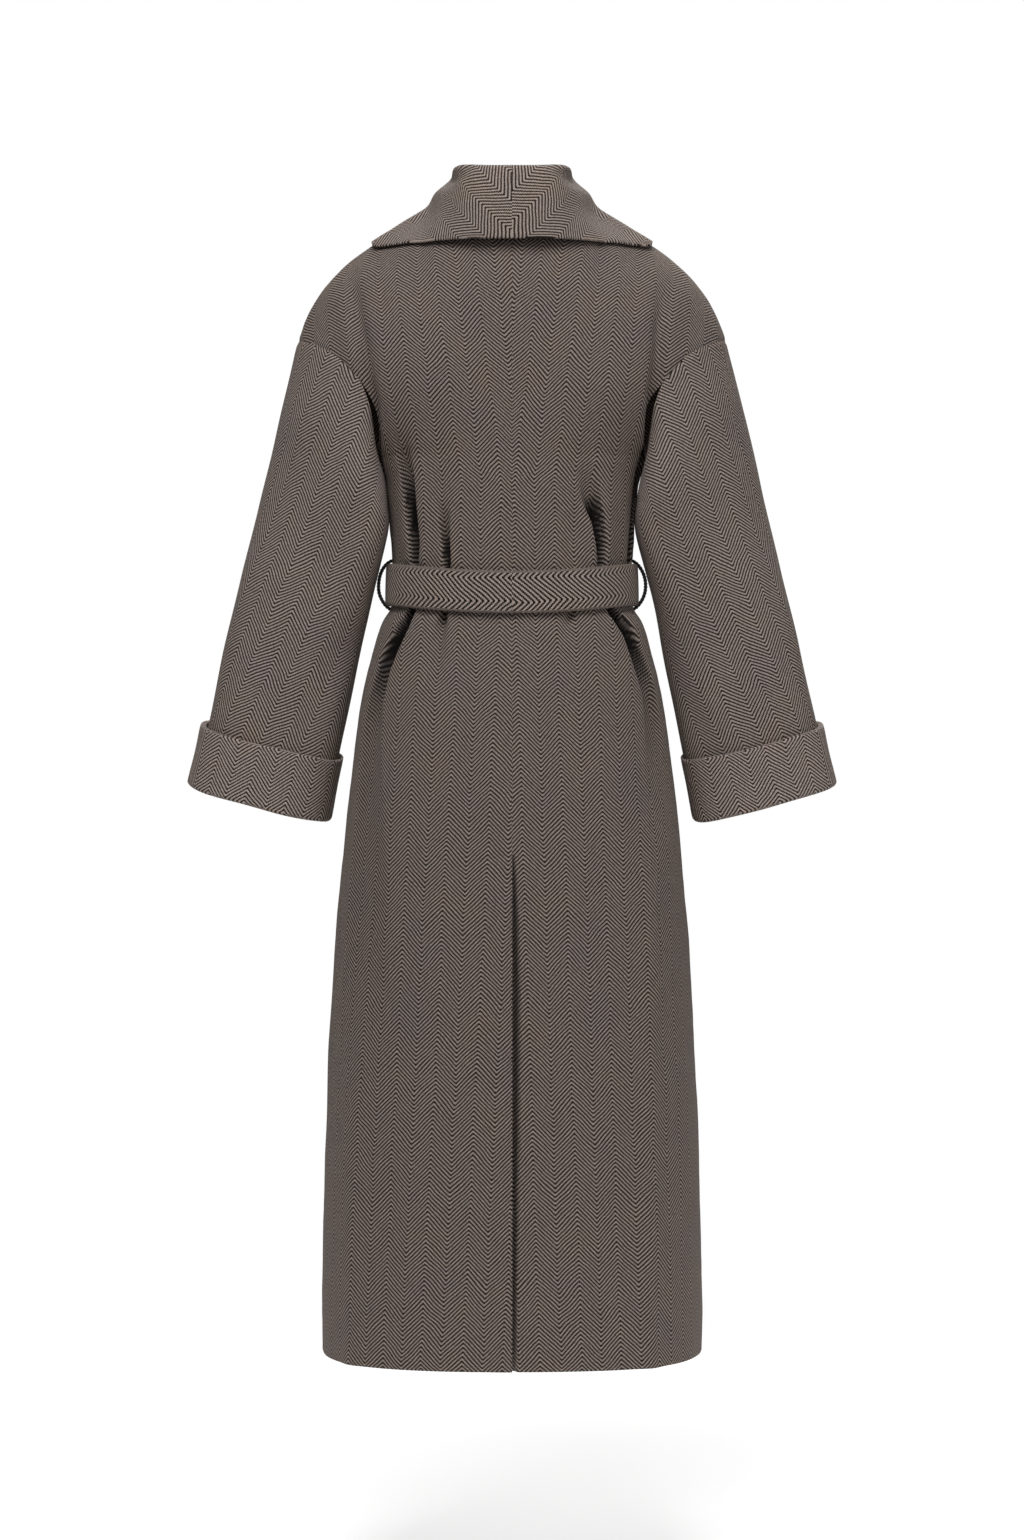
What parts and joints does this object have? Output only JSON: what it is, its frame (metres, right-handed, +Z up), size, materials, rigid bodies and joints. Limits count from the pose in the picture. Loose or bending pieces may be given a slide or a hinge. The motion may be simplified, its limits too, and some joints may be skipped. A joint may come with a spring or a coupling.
{
  "type": "wrap coat",
  "caption": "Long belted wrap coat in herringbone wool, hollow as worn: shawl collar, dropped sleeves with turned-up cuffs, back vent and a tie belt held by thread loops.",
  "frame": {"origin": "centre of the neck opening, level with the nape, where the coat hangs from the wearer", "axes": "+Z up along the body, -Y the front, +X the wearer's left"},
  "size_m": [0.7056, 0.3542, 1.2621],
  "materials": {
    "wool": "matt brushed wool",
    "loop_thread": "matt thread"
  },
  "bodies": {
    "root": {"back_left": "wool", "back_right": "wool", "front_left": "wool", "front_right": "wool", "sleeve_left": "wool", "sleeve_right": "wool", "cuff_left": "wool", "cuff_right": "wool", "collar_left": "wool", "collar_right": "wool", "belt_band": "wool", "belt_knot": "wool", "belt_tail_left": "wool", "belt_tail_right": "wool", "belt_loop_left": "loop_thread", "belt_loop_right": "loop_thread"}
  },
  "joints": []
}
